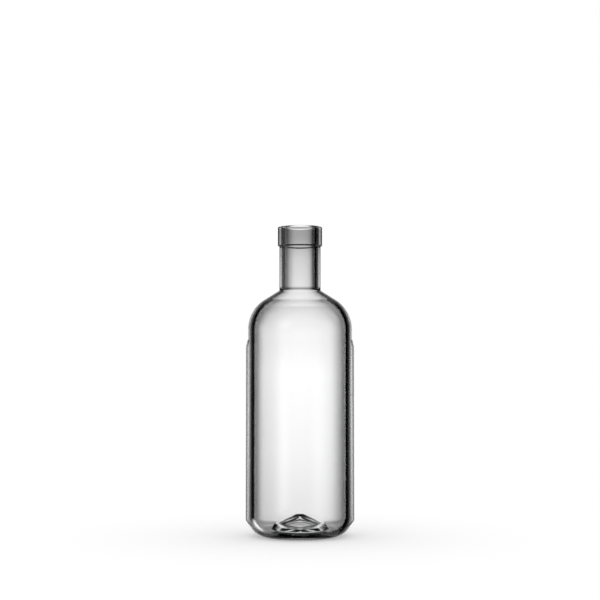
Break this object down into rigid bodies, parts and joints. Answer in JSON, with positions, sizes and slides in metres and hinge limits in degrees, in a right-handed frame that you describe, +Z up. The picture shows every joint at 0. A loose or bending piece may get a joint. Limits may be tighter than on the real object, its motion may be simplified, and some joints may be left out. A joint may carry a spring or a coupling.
{
  "type": "glass bottle",
  "caption": "Empty clear glass bottle with rounded shoulder, short neck, thick lip, pushed-up base and a blank clear sleeve.",
  "frame": {"origin": "centre of the base, on the surface the bottle stands on", "axes": "+Z up the bottle's axis; the bottle is round, so +X and +Y are level and have no special side"},
  "size_m": [0.0842, 0.0842, 0.24],
  "materials": {
    "clear_glass": "fire-polished clear flint glass",
    "clear_film": "clear shrink film, blank"
  },
  "bodies": {
    "root": {"bottle_glass": "clear_glass", "clear_sleeve": "clear_film"}
  },
  "joints": []
}
